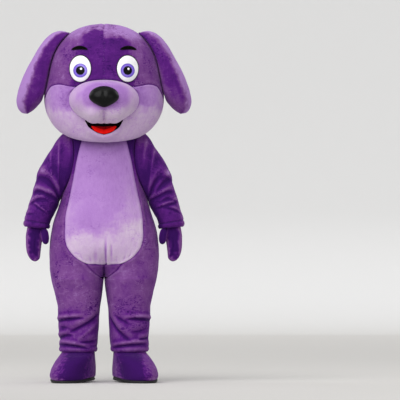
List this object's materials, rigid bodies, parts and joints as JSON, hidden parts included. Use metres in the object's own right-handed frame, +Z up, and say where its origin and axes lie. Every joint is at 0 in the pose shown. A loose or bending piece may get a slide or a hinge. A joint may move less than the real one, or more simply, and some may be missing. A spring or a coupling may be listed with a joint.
{
  "type": "dog costume",
  "caption": "Full-body dog costume in its worn pose: hollow plush suit with belly panel, sleeves and tail, foam-backed head with hanging ears, mittens and boots.",
  "frame": {"origin": "the point between the wearer's shoulders that carries the suit, 1.38 m above the soles and on the middle plane", "axes": "+Z is up, the front faces -Y and +X is the wearer's left"},
  "size_m": [0.954, 0.7951, 1.95],
  "materials": {
    "plush_purple": "deep purple short-pile plush",
    "plush_lilac": "lilac short-pile plush",
    "nose_black": "glossy black moulded nose",
    "eye_white": "white moulded eye",
    "iris_violet": "violet iris disc",
    "felt_black": "black felt",
    "felt_red": "red felt",
    "sole_black": "black rubber sheet"
  },
  "bodies": {
    "root": {"belly_panel": "plush_lilac", "boot_left": "plush_purple", "boot_right": "plush_purple", "brow_left": "felt_black", "brow_right": "felt_black", "cheek_left": "plush_lilac", "cheek_right": "plush_lilac", "crotch_gusset": "plush_purple", "ear_left": "plush_purple", "ear_right": "plush_purple", "eye_white_left": "eye_white", "eye_white_right": "eye_white", "iris_left": "iris_violet", "iris_right": "iris_violet", "mitten_back_left": "plush_purple", "mitten_back_right": "plush_purple", "mitten_palm_left": "plush_lilac", "mitten_palm_right": "plush_lilac", "mouth_lining": "felt_black", "muzzle_left": "plush_lilac", "muzzle_right": "plush_lilac", "nose": "nose_black", "pupil_left": "felt_black", "pupil_right": "felt_black", "skull_left": "plush_purple", "skull_right": "plush_purple", "sleeve_left": "plush_purple", "sleeve_right": "plush_purple", "sole_left": "sole_black", "sole_right": "sole_black", "suit_back_left": "plush_purple", "suit_back_right": "plush_purple", "suit_front_left": "plush_purple", "suit_front_right": "plush_purple", "tail": "plush_purple", "thumb_left": "plush_purple", "thumb_right": "plush_purple", "tongue": "felt_red"}
  },
  "joints": []
}
